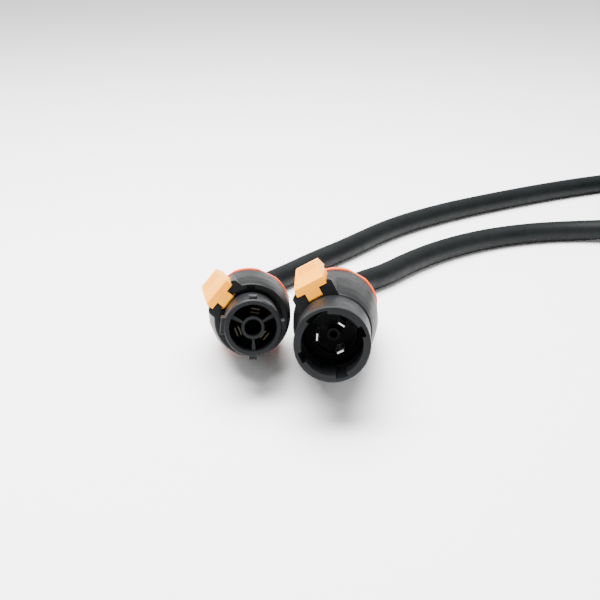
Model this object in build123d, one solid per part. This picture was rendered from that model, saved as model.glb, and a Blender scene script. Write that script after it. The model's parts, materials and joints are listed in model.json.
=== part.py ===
from build123d import *
import math
import os

# A pair of three-pole bayonet cable connectors, female and male, on the two ends of one rubber lead.
# Millimetres. Each connector is modelled standing on its cable end: its own Z axis points out of its
# mating end, its front rim lies at Z = 0, and a depth is a distance behind that rim. Its X axis points
# at the latch. place() then lays it down: its rear collar and the rim of its bushing rest on Z = 0.

# Cable and wire
CABLE_D = 9.5
CORE_R = 1.45
CORE_PITCH_R = 1.75
JACKET_INSIDE = 20.0      # length of jacket inside the connector, measured from the gland's mouth
STUB_END = 7.0            # how far inside the mouth the free cable takes over from the clamped end

# Housing shells
HOUSING_FRONT_R = 12.65
HOUSING_LIP_R = 13.3
HOUSING_REAR_R = 14.85
HOUSING_BORE_R = 10.9
SPIGOT_R = 11.8
SPIGOT_LENGTH = 7.0
FEMALE_HOUSING_LENGTH = 23.0
MALE_HOUSING_LENGTH = 36.6

# Mating parts
NOSE_R = 9.5
NOSE_BORE_R = 7.8
NOSE_LENGTH = 16.5
NOSE_FLOOR = 14.0         # depth of the carrier's face inside the nose
HUB_R = 3.75
HUB_BORE_R = 2.85
SPOKE_ANGLES = (11, 131, 251)
KEY_HEIGHT = 1.1
KEY_LENGTH = 4.0
KEY_SETBACK = 0.7
WIDE_KEY = 5.8
NARROW_KEY = 2.6
WIDE_KEY_ANGLE = 35
NARROW_KEY_ANGLES = (-51, 128.6, -134.5)
BARREL_R = 12.1
CAVITY_CLEARANCE = 0.25
BARREL_LENGTH = 19.5
CAVITY_DEPTH = 20.0
NOTCH_DEPTH = 1.15
TWIST = 35                # turn from insertion to lock, degrees
INSERT_SEAT = 12.0        # length of an insert inside its housing

# Contacts
CONTACT_ANGLES = (60, 180, 300)
CONTACT_R = 5.1
BLADE_WIDTH = 2.7
BLADE_THICKNESS = 0.9
BLADE_TIP = 9.7
FORK_TIP = 4.6            # a mated blade reaches 6.8 into the nose, so 2.2 of it is gripped
FORK_LEAF = 0.45
BLOCK_WIDTH = 3.4
BLOCK_HEIGHT = 2.6
SCREW_R = 1.15
SCREW_TIP_R = 5.7
WIRE_BORE_R = 0.85
SCREW_LENGTH = 2.4
SEAL_BORE_R = 8.4

# Latch
TONGUE_WIDTH = 5.0
TONGUE_HEIGHT = 3.3
TONGUE_LENGTH = 6.0
CHANNEL_LENGTH = 11.6     # shorter than the insert's seat, which closes it from below
LATCH_WIDTH = 10.6
LATCH_LENGTH = 24.0
LATCH_FRONT_HEIGHT = 5.8
LATCH_REAR_HEIGHT = 9.5
LATCH_NOSE = 2.0          # length of the bevel along the pad's front edge
LATCH_NOSE_RISE = 0.6
LATCH_FLAT = 5.0          # level length at the pad's rear
GRIP_LINES = (12.6, 15.3, 18.0)
GRIP_DEPTH = 0.45
LATCH_TRAVEL = 3.5
LATCH_PROUD = 0.4
BOSS_WIDTH = 14.4
RAIL_HEIGHT = 0.9
SLIDE_GAP = 0.2

# Collar, bushing, chuck and gland
COLLAR_R = 15.3
COLLAR_WIDTH = 3.0
COLLAR_BORE_GAP = 0.3
FACE_GAP = 0.1
RIM_R = 11.2
REST_EDGE = 0.35          # rounding of the two edges that the connector rests on
FEMALE_BUSHING_LENGTH = 13.6
MALE_BUSHING_LENGTH = 16.2
BUSHING_FRONT_R = 14.4
MOUTH_R = 7.0
GLAND_R = 6.2
GLAND_TAIL = 3.0
GLAND_TAIL_R = 5.5
CHUCK_NECK_R = 8.5
CHUCK_SLOT = 0.8
CHUCK_BAND = 2.0          # whole ring left at the front of the slotted chuck
FLUTES = 16
FLUTE_R = 1.15

# Lead on the floor
FIRST_CORNER = 5.5        # straight distance from a gland's mouth to the route's first corner
FLOOR_Z = CABLE_D / 2
COIL_CENTRE = (214.2, 160.5)
COIL_R = 47.5


def loc_depth(depth):
    """A location on the axis at a depth behind the front rim."""
    return Pos(0, 0, -depth)


def rod(radius, front, back, radial=0.0, angle=0.0):
    """A round bar along the axis between two depths, set off the axis by a radius and an angle."""
    bar = Cylinder(radius, back - front, align=(Align.CENTER, Align.CENTER, Align.MAX))
    return Rot(0, 0, angle) * Pos(radial, 0, -front) * bar


def tube(outer, inner, front, back):
    """A round tube along the axis between two depths."""
    return rod(outer, front, back) - rod(inner, front - 1, back + 1)


def block(low, high, width, front, back, angle=0.0, offset=0.0):
    """A square bar along the axis from one radius to another, of a width across, at an angle."""
    bar = Box(high - low, width, back - front, align=(Align.MIN, Align.CENTER, Align.MAX))
    return Rot(0, 0, angle) * Pos(low, offset, -front) * bar


def turned(*outline):
    """A solid of revolution about the axis, from (radius, depth) corners."""
    points = [(radius, -depth) for radius, depth in outline]
    face = make_face(Plane.XZ * Polyline(*points, close=True))
    return revolve(face, Axis.Z)


def sector(inner, outer, front, back, start, end):
    """Part of a tube between two angles less than 180 degrees apart."""
    reach = 2 * outer
    middle = math.radians((start + end) / 2)
    corners = [(0, 0)]
    for angle in (math.radians(start), middle, math.radians(end)):
        corners.append((reach * math.cos(angle), reach * math.sin(angle)))
    wedge = extrude(make_face(Polyline(*corners, close=True)), -(back + 1))
    return tube(outer, inner, front, back) & wedge


def half_angle(width, radius):
    """Half the angle that a width covers at a radius, in degrees."""
    return math.degrees(math.asin(width / 2 / radius))


class Connector:
    """The depths and radii that one connector's pieces share."""

    def __init__(self, name, base_r, insert_length, housing_length, bushing_length, collar_flat):
        self.name = name
        self.base_r = base_r
        self.face = insert_length
        self.collar_front = insert_length + housing_length
        self.collar_back = self.collar_front + COLLAR_WIDTH
        self.housing_back = self.collar_front - FACE_GAP
        self.spigot_back = self.housing_back + SPIGOT_LENGTH
        self.rim = self.collar_back + bushing_length
        self.mouth = self.rim + GLAND_TAIL
        self.seat_back = self.face + INSERT_SEAT
        self.jacket_front = self.mouth - JACKET_INSIDE
        self.slide_r = base_r + TONGUE_HEIGHT
        self.collar_flat = collar_flat
        self.pitch = math.degrees(math.atan((COLLAR_R - RIM_R) / bushing_length))


FEMALE = Connector("female", NOSE_R, NOSE_LENGTH, FEMALE_HOUSING_LENGTH, FEMALE_BUSHING_LENGTH, -77)
MALE = Connector("male", BARREL_R, BARREL_LENGTH, MALE_HOUSING_LENGTH, MALE_BUSHING_LENGTH, -57)


# Shell ------------------------------------------------------------------------------------------

def housing(c, seat_r):
    """The moulded shell: a flared body with the latch's boss and channel, and a rear spigot."""
    body = turned(
        (0, c.face), (HOUSING_FRONT_R - 0.3, c.face), (HOUSING_FRONT_R, c.face + 0.3),
        (HOUSING_LIP_R, c.face + 3), (HOUSING_LIP_R + 0.75, c.face + 8), (HOUSING_REAR_R - 0.3, c.face + 15),
        (HOUSING_REAR_R, c.face + 20), (HOUSING_REAR_R, c.housing_back - 0.4),
        (HOUSING_REAR_R - 0.4, c.housing_back), (SPIGOT_R, c.housing_back),
        (SPIGOT_R, c.spigot_back - 0.6), (SPIGOT_R - 0.6, c.spigot_back), (0, c.spigot_back),
    )
    boss_top = c.slide_r + RAIL_HEIGHT
    boss_back = c.face + LATCH_LENGTH - 5
    half = BOSS_WIDTH / 2
    bevel = 0.8
    section = Polyline(
        (0, -half), (boss_top - bevel, -half), (boss_top, bevel - half), (boss_top, half - bevel),
        (boss_top - bevel, half), (0, half), close=True,
    )
    boss = loc_depth(c.face) * extrude(make_face(section), c.face - boss_back)
    ramp = Polyline(
        (boss_top + 1, -boss_back + 3.5), (boss_top + 1, -boss_back - 1), (boss_top - 3.5, -boss_back - 1),
        close=True,
    )
    boss -= extrude(make_face(Plane.XZ * ramp), BOSS_WIDTH, both=True)
    body = body + boss
    body -= rod(seat_r, c.face - 1, c.seat_back)
    body -= rod(HOUSING_BORE_R, c.seat_back, c.spigot_back + 1)
    pocket_r = c.slide_r - SLIDE_GAP
    latch_room = LATCH_LENGTH + LATCH_TRAVEL + 1
    body -= block(pocket_r, pocket_r + 12, LATCH_WIDTH + 4 * SLIDE_GAP, c.face - 1, c.face + latch_room)
    channel_back = c.face + CHANNEL_LENGTH
    channel_low = c.base_r if c.base_r > seat_r + 0.5 else seat_r - 1
    body -= block(channel_low, pocket_r + 1, TONGUE_WIDTH + 2 * SLIDE_GAP, c.face - 1, channel_back)
    foot_room = block(channel_low, c.base_r + 1.5, TONGUE_WIDTH + 2, c.face + 1.5, channel_back)
    return body - foot_room


def female_housing(c):
    """The female shell adds a groove round the nose and a small slot beside the narrow key."""
    shell = housing(c, NOSE_R)
    shell -= tube(HOUSING_BORE_R, NOSE_R - 1, c.face - 1, c.face + 3.2)
    return shell - block(10, 11.9, 2.8, c.face - 1, c.face + 1.6, -50)


def seal_ring(c):
    """The rubber ring behind the insert, with a rounded front lip."""
    ring = tube(HOUSING_BORE_R, SEAL_BORE_R, c.seat_back, c.seat_back + 1.9)
    return fillet(ring.faces().sort_by(Axis.Z)[0].edges(), 0.4)


# Inserts ----------------------------------------------------------------------------------------

def nose_insert(c):
    """The nose: a tube with a hub on three spokes and four bayonet keys."""
    shell = tube(NOSE_R, NOSE_BORE_R, 0, c.seat_back)
    rim = shell.faces().sort_by(Axis.Z)[-1].edges().sort_by(SortBy.RADIUS)[-1]
    shell = chamfer(rim, 0.45)
    hub = tube(HUB_R, HUB_BORE_R, 0.8, NOSE_FLOOR)
    for angle in SPOKE_ANGLES:
        spoke = Polyline(
            (HUB_R - 0.3, -0.33), (NOSE_BORE_R + 0.3, -0.72), (NOSE_BORE_R + 0.3, 0.72), (HUB_R - 0.3, 0.33),
            close=True,
        )
        web = extrude(make_face(spoke), 1 - NOSE_FLOOR)
        hub += Rot(0, 0, angle) * Pos(0, 0, -1) * web
    keys = [(WIDE_KEY, WIDE_KEY_ANGLE)] + [(NARROW_KEY, angle) for angle in NARROW_KEY_ANGLES]
    for width, angle in keys:
        key = block(NOSE_R - 0.6, NOSE_R + KEY_HEIGHT, width, KEY_SETBACK, KEY_SETBACK + KEY_LENGTH, angle)
        hub += chamfer(key.faces().sort_by(Axis.Z)[-1].edges(), 0.2)
    return shell + hub


def barrel_insert(c):
    """The barrel: a deep cup with one wide and three narrow bayonet slots, each turning at its foot."""
    cavity_r = NOSE_R + CAVITY_CLEARANCE
    notch_r = cavity_r + NOTCH_DEPTH
    shell = rod(BARREL_R, 0, c.face) + rod(BARREL_R - 0.9, c.face, c.seat_back)
    rim = shell.faces().sort_by(Axis.Z)[-1].edges()
    shell = fillet(rim, 0.5)
    shell -= rod(cavity_r, -1, c.seat_back + 1)
    widths = [(WIDE_KEY, 0)] + [(NARROW_KEY, angle - WIDE_KEY_ANGLE) for angle in NARROW_KEY_ANGLES]
    foot = BARREL_LENGTH - 7.5
    for width, angle in widths:
        half = half_angle(width + 0.8, cavity_r)
        turn = -angle
        shell -= sector(cavity_r - 1, notch_r, -1, foot, turn - half, turn + half)
        shell -= sector(cavity_r - 1, notch_r, foot - KEY_LENGTH - 1, foot, turn - half, turn + half + TWIST)
    return shell


def carrier(c, radius, front, back, slot):
    """The contact carrier: a plug with one slot for each contact."""
    body = rod(radius, front, back)
    for angle in CONTACT_ANGLES:
        body -= slot(angle, front, back)
    return body


def block_slot(angle, front, back):
    """The slot that a terminal block fills."""
    low = CONTACT_R - BLOCK_HEIGHT / 2
    return block(low, low + BLOCK_HEIGHT, BLOCK_WIDTH, front - 1, back + 1, angle)


def male_carrier(c, front, back):
    """The male carrier: three blade slots in its floor, a hollow post and three low arcs."""
    floor_back = front + 6
    low = CONTACT_R - BLADE_THICKNESS / 2
    body = rod(NOSE_R + CAVITY_CLEARANCE, front, back)
    for angle in CONTACT_ANGLES:
        body -= block(low, low + BLADE_THICKNESS, BLADE_WIDTH, front - 1, floor_back + 1, angle)
        body -= block_slot(angle, floor_back + 1, back)
    body += rod(2.1, front - 5, front + 1)
    body -= rod(1.3, front - 6, front - 0.5)
    for angle in CONTACT_ANGLES:
        body += sector(6.9, 7.7, front - 2.6, front + 0.5, angle + 24, angle + 96)
    return body


# Contacts ---------------------------------------------------------------------------------------

def socket_contact(angle, block_front, block_back):
    """A sprung fork of two leaves on a terminal block."""
    body = block(CONTACT_R - BLOCK_HEIGHT / 2, CONTACT_R + BLOCK_HEIGHT / 2, BLOCK_WIDTH,
                 block_front, block_back, angle)
    gap = BLADE_THICKNESS / 2 - 0.05
    for low in (CONTACT_R - gap - FORK_LEAF, CONTACT_R + gap):
        body += block(low, low + FORK_LEAF, 3.0, FORK_TIP, block_front + 1, angle)
    return finish_terminal(body, angle, block_back)


def blade_contact(angle, block_front, block_back):
    """A flat blade on a terminal block."""
    low = CONTACT_R - BLADE_THICKNESS / 2
    body = block(CONTACT_R - BLOCK_HEIGHT / 2, CONTACT_R + BLOCK_HEIGHT / 2, BLOCK_WIDTH,
                 block_front, block_back, angle)
    blade = block(low, low + BLADE_THICKNESS, BLADE_WIDTH, BLADE_TIP, block_front + 1, 0)
    blade = chamfer(blade.faces().sort_by(Axis.Z)[-1].edges(), 0.25)
    body += Rot(0, 0, angle) * blade
    return finish_terminal(body, angle, block_back)


def finish_terminal(body, angle, block_back):
    """The bores for the wire and for the clamping screw in a terminal block."""
    body -= rod(WIRE_BORE_R, block_back - 5, block_back + 1, CONTACT_R, angle)
    return body - screw_rod(angle, block_back, SCREW_R, SCREW_TIP_R - 0.1)


def screw_rod(angle, block_back, radius, low):
    """A radial round bar at a terminal, from a radius outwards."""
    bar = Cylinder(radius, 6, align=(Align.CENTER, Align.CENTER, Align.MIN))
    return Rot(0, 0, angle) * Pos(low, 0, -(block_back - 2.5)) * Rot(0, 90, 0) * bar


def terminal_screws(block_back):
    """Three slotted screws, one in each terminal block."""
    screws = []
    for angle in CONTACT_ANGLES:
        low = SCREW_TIP_R
        room = block(low, low + SCREW_LENGTH, 4, block_back - 5, block_back, angle)
        slot = block(low + SCREW_LENGTH - 0.6, low + 3, 0.4, block_back - 5, block_back, angle)
        screw = screw_rod(angle, block_back, SCREW_R, low) & room
        screws.append(screw - slot)
    return Compound(children=screws)


def wire_core(c, angle, block_back):
    """One wire from its terminal into the end of the cable's jacket."""
    turn = math.radians(angle)
    start = Vector(CONTACT_R * math.cos(turn), CONTACT_R * math.sin(turn), -block_back)
    end = Vector(CORE_PITCH_R * math.cos(turn), CORE_PITCH_R * math.sin(turn), -c.jacket_front)
    run = end - start
    plane = Plane(origin=start, z_dir=run)
    core = extrude(plane * Circle(CORE_R), run.length)
    return core & rod(HOUSING_BORE_R, block_back, c.jacket_front)


# Latch ------------------------------------------------------------------------------------------

def latch(c):
    """The thumb slider: a wide sloping pad on a narrow tongue with a foot, and grip grooves."""
    front = c.face - LATCH_PROUD
    back = front + LATCH_LENGTH
    low = c.slide_r
    side = Polyline(
        (low, -front), (c.base_r + LATCH_FRONT_HEIGHT, -front),
        (c.base_r + LATCH_FRONT_HEIGHT + LATCH_NOSE_RISE, -front - LATCH_NOSE),
        (c.base_r + LATCH_REAR_HEIGHT, LATCH_FLAT - back), (c.base_r + LATCH_REAR_HEIGHT, -back),
        (low + 3, -back), (low + 3, -back + 5.5), (low + 2.4, -back + 6.1), (low, -back + 6.1),
        close=True,
    )
    pad = extrude(make_face(Plane.XZ * side), LATCH_WIDTH / 2, both=True)
    cheek = 1.5
    for sign in (1, -1):
        corner = Polyline(
            (c.base_r + LATCH_FRONT_HEIGHT - 0.2, sign * LATCH_WIDTH / 2),
            (c.base_r + LATCH_REAR_HEIGHT + 1, sign * (LATCH_WIDTH / 2 - cheek)),
            (c.base_r + LATCH_REAR_HEIGHT + 1, sign * LATCH_WIDTH),
            (c.base_r + LATCH_FRONT_HEIGHT - 0.2, sign * LATCH_WIDTH),
            close=True,
        )
        pad -= Pos(0, 0, 1) * extrude(make_face(corner), -(back + 2))
    ends = pad.faces().sort_by(Axis.Z)[0].edges().sort_by(Axis.X)[-1]
    pad = fillet(ends, 0.8)
    slope = (LATCH_REAR_HEIGHT - LATCH_FRONT_HEIGHT - LATCH_NOSE_RISE) / (LATCH_LENGTH - LATCH_FLAT - LATCH_NOSE)
    for along in GRIP_LINES:
        top = c.base_r + LATCH_FRONT_HEIGHT + LATCH_NOSE_RISE + slope * (along - LATCH_NOSE)
        line_width = LATCH_WIDTH - 2 * cheek - 0.8
        pad -= block(top - GRIP_DEPTH, top + 3, line_width, front + along - 0.4, front + along + 0.4)
    tongue = block(c.base_r + SLIDE_GAP, low + 0.5, TONGUE_WIDTH, front, front + TONGUE_LENGTH)
    tongue = chamfer(tongue.faces().sort_by(Axis.Z)[-1].edges().sort_by(Axis.X)[0], 0.5)
    foot = block(c.base_r + SLIDE_GAP, c.base_r + 1.3, TONGUE_WIDTH + 1.6, front + 2.4, front + TONGUE_LENGTH)
    return pad + tongue + foot


def latch_spring(c):
    """A small compression spring between the tongue and the end of its channel."""
    wire = 0.25
    coil = 1.1
    front = c.face - LATCH_PROUD + TONGUE_LENGTH + wire + 0.05
    length = c.face + CHANNEL_LENGTH - wire - 0.05 - front
    path = Helix(pitch=length / 5, height=length, radius=coil)
    start = path @ 0
    profile = Plane(origin=start, z_dir=path % 0) * Circle(wire)
    spring = sweep(profile, path=path, is_frenet=True)
    return Pos(c.base_r + 1.75, 0, -front - length) * spring


# Rear end ---------------------------------------------------------------------------------------

def collar(c):
    """The coloured ring between the shell and the bushing, with six shallow flats."""
    ring = tube(COLLAR_R, SPIGOT_R + COLLAR_BORE_GAP, c.collar_front, c.collar_back)
    rims = ring.edges().filter_by(GeomType.CIRCLE).filter_by(lambda edge: edge.radius > COLLAR_R - 0.01)
    ring = fillet(rims, REST_EDGE)
    for step in range(6):
        angle = c.collar_flat + 60 * step
        flat = block(COLLAR_R - 0.45, COLLAR_R + 3, 30, c.collar_front - 1, c.collar_back + 1, angle)
        ring -= flat
    return ring


def bushing(c):
    """The rear nut: a fluted cone that screws on the shell's spigot and squeezes the chuck."""
    front = c.collar_back + FACE_GAP
    thread_r = SPIGOT_R + COLLAR_BORE_GAP
    thread_back = c.spigot_back + 0.8
    body = turned(
        (thread_r, front), (BUSHING_FRONT_R - 0.5, front), (BUSHING_FRONT_R, front + 0.5),
        (BUSHING_FRONT_R, front + 2.2), (BUSHING_FRONT_R - 0.6, front + 3),
        (RIM_R + 0.5, c.rim - 2.4), (RIM_R, c.rim - 1.9), (RIM_R, c.rim), (MOUTH_R, c.rim), (MOUTH_R, c.rim - 1.2),
        (CHUCK_NECK_R + 0.4, thread_back), (thread_r, thread_back),
    )
    rim = body.edges().filter_by(GeomType.CIRCLE).filter_by(lambda e: abs(e.radius - RIM_R) < 0.01)
    body = fillet(rim.sort_by(Axis.Z)[0], REST_EDGE)
    cone_length = c.rim - 2.4 - front - 3
    slope = math.degrees(math.atan((BUSHING_FRONT_R - 0.6 - RIM_R - 0.5) / cone_length))
    for step in range(FLUTES):
        flute = Cylinder(FLUTE_R, cone_length + 1.4, align=(Align.CENTER, Align.CENTER, Align.MAX))
        at = Rot(0, 0, 360 / FLUTES * step) * Pos(BUSHING_FRONT_R + 0.2, 0, -front - 2.5) * Rot(0, slope, 0)
        body -= at * flute
    return body


def chuck(c):
    """The clamp: a slotted collet between the shell's bore and the bushing's cone."""
    front = c.jacket_front + 2.5
    shoulder = c.spigot_back + 0.3
    body = turned(
        (GLAND_R, front), (HOUSING_BORE_R - 0.1, front), (HOUSING_BORE_R - 0.1, shoulder),
        (CHUCK_NECK_R, shoulder + 0.6), (MOUTH_R, c.rim - 2.2), (GLAND_R, c.rim - 2.2),
    )
    for angle in (45, 135):
        body -= block(-HOUSING_REAR_R, HOUSING_REAR_R, CHUCK_SLOT, front + CHUCK_BAND, c.rim, angle)
    return body


def gland(c):
    """The rubber sleeve that seals and steadies the cable, with a tapered tail."""
    front = c.jacket_front + 2.5
    return turned(
        (CABLE_D / 2, front), (GLAND_R, front), (GLAND_R, c.rim), (GLAND_TAIL_R, c.mouth - 0.3),
        (GLAND_TAIL_R - 0.3, c.mouth), (CABLE_D / 2, c.mouth),
    )


def clamped_end(c):
    """The end of the cable's jacket inside the gland."""
    return rod(CABLE_D / 2, c.jacket_front, c.mouth - STUB_END)


# Assembly ---------------------------------------------------------------------------------------

def shared_pieces(c, block_back):
    """The pieces that both connectors have."""
    pieces = {
        "terminal_screws": terminal_screws(block_back),
        "latch": latch(c),
        "latch_spring": latch_spring(c),
        "collar_ring": collar(c),
        "bushing": bushing(c),
        "chuck": chuck(c),
        "gland": gland(c),
        "cable_end": clamped_end(c),
    }
    for label, angle in zip(("brown", "blue", "earth"), CONTACT_ANGLES):
        pieces[f"core_{label}"] = wire_core(c, angle, block_back)
    return pieces


def female_pieces(c):
    """Every piece of the female connector, in its own frame."""
    block_front = NOSE_FLOOR + 2
    block_back = c.seat_back + 6
    pieces = shared_pieces(c, block_back)
    pieces["housing"] = female_housing(c)
    pieces["nose"] = nose_insert(c)
    pieces["seal_ring"] = seal_ring(c)
    pieces["carrier"] = carrier(c, NOSE_BORE_R, NOSE_FLOOR, c.seat_back, block_slot)
    for label, angle in zip(("line", "neutral", "earth"), CONTACT_ANGLES):
        pieces[f"socket_{label}"] = socket_contact(angle, block_front, block_back)
    return pieces


def male_pieces(c):
    """Every piece of the male connector, in its own frame."""
    block_back = c.seat_back + 6
    block_front = CAVITY_DEPTH + 7
    pieces = shared_pieces(c, block_back)
    pieces["housing"] = housing(c, BARREL_R - 0.9)
    pieces["barrel"] = barrel_insert(c)
    pieces["seal_ring"] = seal_ring(c)
    pieces["carrier"] = male_carrier(c, CAVITY_DEPTH, c.seat_back)
    for label, angle in zip(("line", "neutral", "earth"), CONTACT_ANGLES):
        pieces[f"blade_{label}"] = blade_contact(angle, block_front, block_back)
    return pieces


def place(c, mouth_x, mouth_y, yaw, roll):
    """Lays a connector down, resting on its collar and its bushing's rim, with its mouth at x, y."""
    turn = Rot(0, 0, yaw) * Rot(90 - c.pitch, 0, 0) * Rot(0, 0, roll)
    lean = math.radians(c.pitch)
    collar_axis_z = (COLLAR_R - REST_EDGE) * math.cos(lean) + REST_EDGE
    mouth_z = collar_axis_z - (c.mouth - c.collar_back + REST_EDGE) * math.sin(lean)
    mouth = (turn * Pos(0, 0, -c.mouth)).position
    shift = Vector(mouth_x, mouth_y, mouth_z) - mouth
    return Pos(*shift) * turn


def cable_tube(name, route):
    """The free cable: straight runs joined by arcs as large as the runs allow."""
    points = [Vector(*p) for p in route]
    runs = [b - a for a, b in zip(points, points[1:])]
    radii = []
    for first, second in zip(runs, runs[1:]):
        half = math.radians(first.get_angle(second)) / 2
        radii.append(0.45 * min(first.length, second.length) / math.tan(half))
    print(name, "arc radii", [round(r) for r in radii])
    print(name, "runs", [round(r.length, 1) for r in runs])
    path = FilletPolyline(*points, radius=radii)
    profile = Plane(origin=path @ 0, z_dir=path % 0) * Circle(CABLE_D / 2)
    solid = sweep(profile, path=path)
    print(name, "length", round(path.length, 1), "volume ratio",
          round(solid.volume / (math.pi * CABLE_D ** 2 / 4 * path.length), 4))
    return solid


def coil():
    """The outer shape of the put-away turns: one and a half turns, two cables high."""
    outer = COIL_R + CABLE_D / 2
    inner = COIL_R - CABLE_D / 2
    ring = Cylinder(outer, 2 * CABLE_D, align=(Align.CENTER, Align.CENTER, Align.MIN))
    ring -= Cylinder(inner, 3 * CABLE_D, align=(Align.CENTER, Align.CENTER, Align.MIN))
    ring = fillet(ring.edges(), 3)
    return Pos(*COIL_CENTRE, 0) * ring


def leave(frame, c, along):
    """The point on a connector's axis a distance outside its mouth."""
    return (frame * Pos(0, 0, -c.mouth - along)).position


female_frame = place(FEMALE, -16.6, 35.7, 5.0, 139)
male_frame = place(MALE, 18.5, 38.7, -3.8, 119)

female_route = [leave(female_frame, FEMALE, -STUB_END), leave(female_frame, FEMALE, FIRST_CORNER)] + [
    (-15.0, 52.8, 6.3), (-9.9, 63.7, 5.2), (-1.7, 73.8, FLOOR_Z), (10.6, 88.9, FLOOR_Z),
    (24.4, 103.5, FLOOR_Z), (47.1, 131.0, FLOOR_Z), (75.2, 153.0, FLOOR_Z), (107.2, 171.5, FLOOR_Z),
    (140.2, 188.5, FLOOR_Z), (176.2, 203.5, FLOOR_Z), (201.5, 208.0, FLOOR_Z),
]
male_route = [leave(male_frame, MALE, -STUB_END), leave(male_frame, MALE, FIRST_CORNER)] + [
    (22.8, 55.4, 6.7), (29.7, 65.2, 5.3), (39.5, 73.7, FLOOR_Z), (51.0, 87.0, FLOOR_Z),
    (67.2, 102.0, FLOOR_Z), (89.2, 116.0, FLOOR_Z), (112.2, 124.2, FLOOR_Z), (133.0, 127.2, FLOOR_Z),
    (152.0, 125.6, 6.0), (170.2, 120.8, 9.6), (187.0, 116.0, 13.4), (201.5, 113.0, 14.25),
]

pieces = {}
for connector, frame, local in (
    (FEMALE, female_frame, female_pieces(FEMALE)),
    (MALE, male_frame, male_pieces(MALE)),
):
    for name, solid in local.items():
        pieces[f"{connector.name}_{name}"] = frame * solid
coil_solid = coil()
pieces["lead_female_stretch"] = cable_tube("female stretch", female_route) - coil_solid
pieces["lead_male_stretch"] = cable_tube("male stretch", male_route) - coil_solid
pieces["lead_coil"] = coil_solid

os.makedirs("parts", exist_ok=True)
for name, solid in pieces.items():
    export_step(solid, f"parts/{name}.step")
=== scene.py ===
import json
import math

import bmesh
import bpy
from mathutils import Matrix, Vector


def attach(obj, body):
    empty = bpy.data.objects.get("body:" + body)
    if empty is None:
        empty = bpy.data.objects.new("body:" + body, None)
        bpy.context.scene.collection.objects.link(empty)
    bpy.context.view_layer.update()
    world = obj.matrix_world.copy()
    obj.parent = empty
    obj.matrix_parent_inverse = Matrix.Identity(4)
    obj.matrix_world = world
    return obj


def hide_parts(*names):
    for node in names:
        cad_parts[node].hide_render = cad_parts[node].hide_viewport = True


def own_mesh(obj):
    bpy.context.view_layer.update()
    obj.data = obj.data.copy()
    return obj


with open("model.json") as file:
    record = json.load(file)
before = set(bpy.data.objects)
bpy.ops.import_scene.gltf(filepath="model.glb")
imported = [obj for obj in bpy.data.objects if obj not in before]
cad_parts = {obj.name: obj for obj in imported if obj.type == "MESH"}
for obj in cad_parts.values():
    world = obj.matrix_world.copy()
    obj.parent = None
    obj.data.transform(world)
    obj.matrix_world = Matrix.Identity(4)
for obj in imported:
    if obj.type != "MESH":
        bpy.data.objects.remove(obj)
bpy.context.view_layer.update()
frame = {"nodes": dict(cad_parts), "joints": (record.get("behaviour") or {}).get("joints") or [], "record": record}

MM = 0.001

# Camera: a short telephoto view from above the mating ends
CAMERA_AT = (3.6, -290.5, 162.8)     # millimetres
CAMERA_DOWN = 25.0                   # degrees below the horizon
FOCAL_LENGTH = 55.74                 # millimetres
SENSOR_WIDTH = 36.0                  # millimetres

# Lead: the same route as the CAD solids, in millimetres
CABLE_D = 9.5
FLOOR_Z = CABLE_D / 2                # the cable's middle where it lies on the floor
FEMALE_ROUTE = [
    (-16.02, 29.02, 11.79), (-17.06, 40.95, 8.18), (-15.0, 52.8, 6.3), (-9.9, 63.7, 5.2),
    (-1.7, 73.8, FLOOR_Z), (10.6, 88.9, FLOOR_Z), (24.4, 103.5, FLOOR_Z), (47.1, 131.0, FLOOR_Z),
    (75.2, 153.0, FLOOR_Z), (107.2, 171.5, FLOOR_Z), (140.2, 188.5, FLOOR_Z), (176.2, 203.5, FLOOR_Z),
    (201.5, 208.0, FLOOR_Z),
]
MALE_ROUTE = [
    (18.05, 31.93, 11.76), (18.85, 44.02, 8.7), (22.8, 55.4, 6.7), (29.7, 65.2, 5.3), (39.5, 73.7, FLOOR_Z),
    (51.0, 87.0, FLOOR_Z), (67.2, 102.0, FLOOR_Z), (89.2, 116.0, FLOOR_Z), (112.2, 124.2, FLOOR_Z),
    (133.0, 127.2, FLOOR_Z), (152.0, 125.6, 6.0), (170.2, 120.8, 9.6), (187.0, 116.0, 13.4),
    (201.5, 113.0, 14.25),
]
CABLE_STEPS = 10                     # drawn from one route point to the next
CABLE_BEVEL = 9                      # how finely the cable's outline is rounded

# Put-away turns
COIL_CENTRE = (214.2, 160.5)
COIL_R = 47.5
COIL_POINTS = 12                     # a turn
COIL_TURNS = 1.5
CLIMB_START = 225                    # degrees wound before the cable climbs over its own start
CLIMB_SPAN = 95                      # degrees that the climb takes

# Strap round both layers of the turns
TIE_ANGLE = -45.0                    # its place round the turns, degrees
TIE_THICKNESS = 0.8
TIE_WIDTH = 10.0
TIE_GAP = 0.05                       # between the strap and the cable
TIE_STEPS = 12                       # round each half of its outline
TIE_STATIONS = 7                     # across its width
ROUTE_LIFT = 1.15 * TIE_THICKNESS    # of the route's points, so that the strap fits under the cable
TIE_LIFT = 1.07 * TIE_THICKNESS      # of the cable itself, which runs a little inside its points

# Patterns of the finishes, in millimetres
CLOUD = 9.0                          # patches of lighter and darker plastic or rubber
SMEAR = 3.0                          # patches of more and less gloss
SCRATCH_DEPTH = 0.01

# Shares of a pattern's range where it starts and stops to tell
CLOUD_BAND = (0.35, 0.65)
SCRATCH_BAND = (0.3, 0.7)
GLOSS_BAND = (0.3, 0.7)

# Studio
FLOOR_SIZE = 6.0                     # metres
WORLD_STRENGTH = 1.1
SOFTBOX_AT = (-60, 60, 600)          # millimetres
SOFTBOX_AIM = (0, 0, 10)             # millimetres
SOFTBOX_SIZE = (600, 500)            # millimetres
SOFTBOX_POWER = 26.0                 # watts


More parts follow.
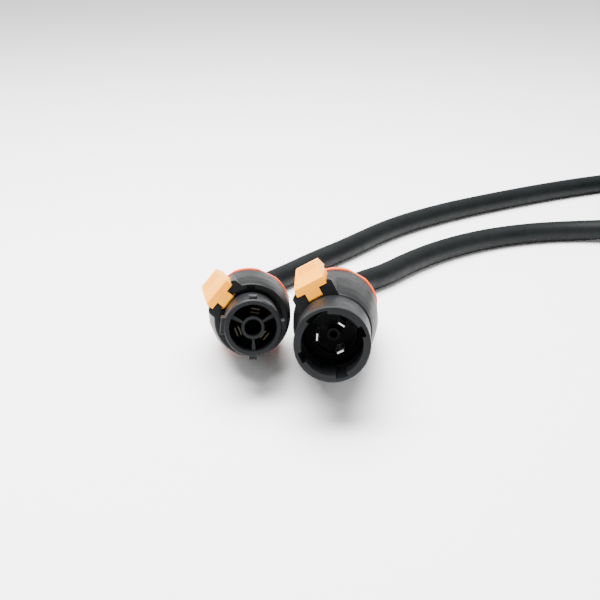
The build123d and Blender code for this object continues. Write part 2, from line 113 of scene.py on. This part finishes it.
def add_camera():
    """The camera at the viewing angle, looking along +Y and down."""
    data = bpy.data.cameras.new("camera")
    data.sensor_width = SENSOR_WIDTH
    data.lens = FOCAL_LENGTH
    data.clip_start = 0.01
    camera = bpy.data.objects.new("camera", data)
    bpy.context.scene.collection.objects.link(camera)
    camera.location = [c * MM for c in CAMERA_AT]
    camera.rotation_euler = (math.radians(90 - CAMERA_DOWN), 0, 0)
    bpy.context.scene.camera = camera


def coil_route():
    """The put-away turns: once round on the floor, rising over their own start, and half round on top."""
    points = []
    step = 360 / COIL_POINTS
    control_r = COIL_R / math.cos(math.radians(step / 2))
    for index in range(round(COIL_TURNS * COIL_POINTS)):
        turned = step * (index + 0.5)
        angle = math.radians(90 - turned)
        climbed = min(max((turned - CLIMB_START) / CLIMB_SPAN, 0), 1)
        climbed = climbed * climbed * (3 - 2 * climbed)
        near_tie = max(math.cos(angle - math.radians(TIE_ANGLE)), 0) ** 2
        points.append((
            COIL_CENTRE[0] + control_r * math.cos(angle),
            COIL_CENTRE[1] + control_r * math.sin(angle),
            FLOOR_Z + climbed * CABLE_D + near_tie * ROUTE_LIFT,
        ))
    return points


def add_tie():
    """The strap round the two layers of cable: a flat band that follows their outline."""
    outline = [(math.pi * i / TIE_STEPS, CABLE_D) for i in range(TIE_STEPS + 1)]
    outline += [(math.pi + math.pi * i / TIE_STEPS, 0) for i in range(TIE_STEPS + 1)]
    half = TIE_WIDTH / 2 / COIL_R
    mesh = bmesh.new()
    rings = []
    for station in range(TIE_STATIONS):
        turn = math.radians(TIE_ANGLE) - half + 2 * half * station / (TIE_STATIONS - 1)
        pair = []
        for band in (TIE_GAP, TIE_GAP + TIE_THICKNESS):
            r = CABLE_D / 2 + band
            loop = []
            for angle, up in outline:
                out = COIL_R + r * math.cos(angle)
                z = FLOOR_Z + TIE_LIFT + up + r * math.sin(angle)
                place = (COIL_CENTRE[0] + out * math.cos(turn), COIL_CENTRE[1] + out * math.sin(turn), z)
                loop.append(mesh.verts.new([c * MM for c in place]))
            pair.append(loop)
        rings.append(pair)
    count = len(outline)
    for i in range(count):
        j = (i + 1) % count
        for (inner, outer), (inner_next, outer_next) in zip(rings, rings[1:]):
            mesh.faces.new((outer[i], outer[j], outer_next[j], outer_next[i]))
            mesh.faces.new((inner[j], inner[i], inner_next[i], inner_next[j]))
        for inner, outer in (rings[0], rings[-1]):
            mesh.faces.new((inner[i], inner[j], outer[j], outer[i]))
    bmesh.ops.recalc_face_normals(mesh, faces=mesh.faces)
    data = bpy.data.meshes.new("coil_tie")
    mesh.to_mesh(data)
    mesh.free()
    tie = bpy.data.objects.new("coil_tie", data)
    bpy.context.scene.collection.objects.link(tie)
    return tie


def add_cable():
    """The whole lead as one smooth line from the female gland through the coil to the male gland."""
    route = FEMALE_ROUTE + coil_route() + MALE_ROUTE[::-1]
    data = bpy.data.curves.new("link_cable", "CURVE")
    data.dimensions = "3D"
    spline = data.splines.new("NURBS")
    spline.points.add(len(route) - 1)
    for point, place in zip(spline.points, route):
        point.co = (*[c * MM for c in place], 1)
        point.radius = CABLE_D / 2 * MM
    spline.order_u = 3
    spline.use_endpoint_u = True
    spline.resolution_u = CABLE_STEPS
    data.bevel_depth = 1.0           # a multiple of each point's radius
    data.bevel_resolution = CABLE_BEVEL
    data.use_fill_caps = True
    cable = bpy.data.objects.new("link_cable", data)
    bpy.context.scene.collection.objects.link(cable)
    return cable


def srgb(code):
    """A hex colour as linear red, green, blue and alpha."""
    channels = [int(code[i:i + 2], 16) / 255 for i in (0, 2, 4)]
    linear = [c / 12.92 if c <= 0.04045 else ((c + 0.055) / 1.055) ** 2.4 for c in channels]
    return (*linear, 1.0)


def node(tree, kind, settings=None, links=None):
    """Adds a node with the settings of its sockets and the links into it."""
    made = tree.nodes.new(kind)
    for name, value in (settings or {}).items():
        made.inputs[name].default_value = value
    for name, source in (links or {}).items():
        tree.links.new(source, made.inputs[name])
    return made


def new_material(name):
    """An empty material, its tree and its object coordinates."""
    material = bpy.data.materials.new(name)
    material.use_nodes = True
    tree = material.node_tree
    tree.nodes.clear()
    place = node(tree, "ShaderNodeTexCoord").outputs["Object"]
    return material, tree, place


def close_material(tree, shader):
    """Links a shader to the material's output."""
    node(tree, "ShaderNodeOutputMaterial", links={"Surface": shader.outputs["BSDF"]})


def set_tones(ramp, band, dark, light):
    """Gives a colour ramp its dark and its light tone, at the ends of a band."""
    for element, position, tone in zip(ramp.color_ramp.elements, band, (dark, light)):
        element.position = position
        element.color = srgb(tone)


def moulded(name, light, dark, roughness, grain_mm, relief_mm, shader_settings):
    """A moulded plastic or rubber: faint cloudy colour, a fine moulded grain and uneven gloss."""
    material, tree, place = new_material(name)
    cloud = node(tree, "ShaderNodeTexNoise", {"Scale": 1 / (CLOUD * MM), "Detail": 4.0}, {"Vector": place})
    ramp = node(tree, "ShaderNodeValToRGB", links={"Fac": cloud.outputs["Fac"]})
    set_tones(ramp, CLOUD_BAND, dark, light)
    gloss = node(tree, "ShaderNodeTexNoise", {"Scale": 1 / (SMEAR * MM), "Detail": 6.0}, {"Vector": place})
    rough = node(tree, "ShaderNodeMapRange", {
        "From Min": GLOSS_BAND[0], "From Max": GLOSS_BAND[1],
        "To Min": roughness - 0.06, "To Max": roughness + 0.06,
    }, {"Value": gloss.outputs["Fac"]})
    grain = node(tree, "ShaderNodeTexNoise", {"Scale": 1 / (grain_mm * MM), "Detail": 2.0}, {"Vector": place})
    relief = node(tree, "ShaderNodeBump", {"Strength": 1.0, "Distance": relief_mm * MM},
                  {"Height": grain.outputs["Fac"]})
    shader = node(tree, "ShaderNodeBsdfPrincipled", shader_settings, {
        "Base Color": ramp.outputs["Color"],
        "Roughness": rough.outputs["Result"],
        "Normal": relief.outputs["Normal"],
    })
    close_material(tree, shader)
    return material


def metal(name, light, dark, roughness, scratch_mm):
    """A plated or drawn metal with fine scratches, twelve times as long as they are wide."""
    material, tree, place = new_material(name)
    stretch = node(tree, "ShaderNodeMapping", {"Scale": (1, 0.08, 1)}, {"Vector": place})
    scratches = node(tree, "ShaderNodeTexNoise", {"Scale": 1 / (scratch_mm * MM), "Detail": 3.0},
                     {"Vector": stretch.outputs["Vector"]})
    ramp = node(tree, "ShaderNodeValToRGB", links={"Fac": scratches.outputs["Fac"]})
    set_tones(ramp, SCRATCH_BAND, dark, light)
    rough = node(tree, "ShaderNodeMapRange", {
        "From Min": GLOSS_BAND[0], "From Max": GLOSS_BAND[1],
        "To Min": roughness - 0.05, "To Max": roughness + 0.08,
    }, {"Value": scratches.outputs["Fac"]})
    relief = node(tree, "ShaderNodeBump", {"Strength": 0.4, "Distance": SCRATCH_DEPTH * MM},
                  {"Height": scratches.outputs["Fac"]})
    shader = node(tree, "ShaderNodeBsdfPrincipled", {"Metallic": 1.0}, {
        "Base Color": ramp.outputs["Color"],
        "Roughness": rough.outputs["Result"],
        "Normal": relief.outputs["Normal"],
    })
    close_material(tree, shader)
    return material


def add_materials():
    """Every finish of the object, by the record's slot.

    The moulded grains are 0.3 to 0.5 mm wide, coarser than real ones, which are too fine to show.
    """
    plastic = {"Specular IOR Level": 0.16}
    latch_sheen = {"Specular IOR Level": 0.15}
    rubber = {"Specular IOR Level": 0.12}
    return {
        # Moulded in a spark-eroded tool: near black, finely grained, with a dull broad sheen
        "black_shell": moulded("spark_eroded_black_polyamide", "0E0F10", "0A0B0C", 0.5, 0.30, 0.012, plastic),
        # Moulded in a smoother tool: as dull as the shell, but with less grain on the nose and barrel
        "black_insert": moulded("satin_black_polyamide", "101214", "0C0E0F", 0.5, 0.30, 0.008, plastic),
        # Deep in the cavities: the darkest plastic, darker than the nose as painted shade for the recesses, which
        # gives back hardly any light
        "dark_carrier": moulded("shade_darkened_black_polyamide", "060708", "040505", 0.6, 0.4, 0.02, plastic),
        # Moulded with a grain for the fingers: the roughest of the plastics
        "black_bushing": moulded("grained_black_polyamide", "101112", "0B0C0D", 0.55, 0.35, 0.03, plastic),
        # Self-coloured acetal: an even, slightly waxy mid grey
        "grey_chuck": moulded("grey_acetal", "4A4D50", "404346", 0.45, 0.4, 0.01, plastic),
        # Moulded rubber: matte and soft looking, with no clear highlight
        "black_rubber": moulded("matte_black_rubber", "101112", "0B0C0D", 0.7, 0.4, 0.03, rubber),
        # Extruded rubber: blacker and smoother than the glands, with one soft streak of light along it
        "cable_rubber": moulded("extruded_black_rubber", "0A0D0E", "050708", 0.5, 0.5, 0.02, rubber),
        # Acetal coloured through: a light, warm orange with a soft gloss
        "orange_latch": moulded("pale_orange_acetal", "F3A000", "EC9600", 0.45, 0.4, 0.01, latch_sheen),
        # Polyamide coloured through: a deeper, redder orange than the latch
        "orange_collar": moulded("orange_polyamide", "D64E00", "CA4400", 0.45, 0.35, 0.015, plastic),
        # Drawn wire: bright grey, streaked along its length
        "spring_steel": metal("drawn_spring_steel", "C9CACC", "A9AAAC", 0.3, 0.1),
        # Zinc plate: pale, slightly blue, with blurred reflections
        "screw_steel": metal("zinc_plated_steel", "D2D4D8", "B4B6BA", 0.35, 0.15),
        # Brass darkened to a dull brown: painted shade for the contacts deep in their recess
        "contact_brass": metal("shade_darkened_brass", "4A443A", "38332B", 0.45, 0.12),
        # Silver plate: the brightest metal, nearly white, with blurred reflections
        "contact_silver": metal("silver_plate", "FFFEFA", "F0ECE2", 0.35, 0.12),
        # Core insulation: smooth and slightly glossy, brown, blue and green with yellow
        "core_brown": moulded("brown_core_insulation", "6B4023", "5E381E", 0.4, 0.5, 0.01, rubber),
        "core_blue": moulded("blue_core_insulation", "2F62B4", "2858A6", 0.4, 0.5, 0.01, rubber),
        "core_earth": moulded("green_core_insulation", "7DA53A", "B9C04A", 0.4, 0.5, 0.01, rubber),
    }


def dress(materials):
    """Gives every CAD node the finish of its slot."""
    for entry in frame["record"]["subparts"]:
        obj = frame["nodes"][entry["node"]]
        obj.data.materials.clear()
        obj.data.materials.append(materials[entry["material_slot"]])


def add_springs(material):
    """Each latch spring as its own copy of the CAD mesh in spring steel, held to the root in place of the hidden
    CAD node.
    """
    axes = {joint["name"]: Vector(joint["axis"]) for joint in frame["joints"]}
    for side in ("female", "male"):
        joint = f"{side}_latch_slide"
        mesh = frame["nodes"][f"{side}_latch_spring"].data.copy()
        mesh.materials.clear()
        mesh.materials.append(material)
        spring = bpy.data.objects.new(f"{side}_return_spring", mesh)
        bpy.context.scene.collection.objects.link(spring)
        fixed_end = max((vertex.co for vertex in mesh.vertices), key=axes[joint].dot)
        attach(spring, "root")
        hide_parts(f"{side}_latch_spring")
        fixed_end.copy()
        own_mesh(spring)


def add_floor():
    """A pale painted floor with a mottle too faint to notice at once."""
    bpy.ops.mesh.primitive_plane_add(size=FLOOR_SIZE, location=(0, 0, 0))
    floor = bpy.context.object
    floor.name = "floor"
    material, tree, place = new_material("pale_floor_paint")
    mottle = node(tree, "ShaderNodeTexNoise", {"Scale": 6.0, "Detail": 3.0}, {"Vector": place})
    ramp = node(tree, "ShaderNodeValToRGB", links={"Fac": mottle.outputs["Fac"]})
    set_tones(ramp, (0, 1), "F2F2F2", "F6F6F6")
    shader = node(tree, "ShaderNodeBsdfPrincipled", {"Roughness": 0.8}, {"Base Color": ramp.outputs["Color"]})
    close_material(tree, shader)
    floor.data.materials.append(material)


def add_lighting():
    """Soft white light from all round and one large softbox overhead."""
    world = bpy.data.worlds.new("studio")
    bpy.context.scene.world = world
    world.use_nodes = True
    background = world.node_tree.nodes["Background"]
    background.inputs["Color"].default_value = srgb("FFFFFF")
    background.inputs["Strength"].default_value = WORLD_STRENGTH
    data = bpy.data.lights.new("overhead_softbox", "AREA")
    data.shape = "RECTANGLE"
    data.size, data.size_y = (s * MM for s in SOFTBOX_SIZE)
    data.energy = SOFTBOX_POWER
    softbox = bpy.data.objects.new("overhead_softbox", data)
    bpy.context.scene.collection.objects.link(softbox)
    softbox.location = [c * MM for c in SOFTBOX_AT]
    softbox.rotation_euler = (Vector(SOFTBOX_AIM) - Vector(SOFTBOX_AT)).to_track_quat("-Z", "Y").to_euler()


add_camera()
cable = add_cable()
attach(cable, "root")
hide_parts("lead_female_stretch", "lead_male_stretch", "lead_coil")
tie = add_tie()
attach(tie, "root")
finishes = add_materials()
dress(finishes)
add_springs(finishes["spring_steel"])
cable.data.materials.append(finishes["cable_rubber"])
tie.data.materials.append(finishes["black_rubber"])
add_floor()
add_lighting()
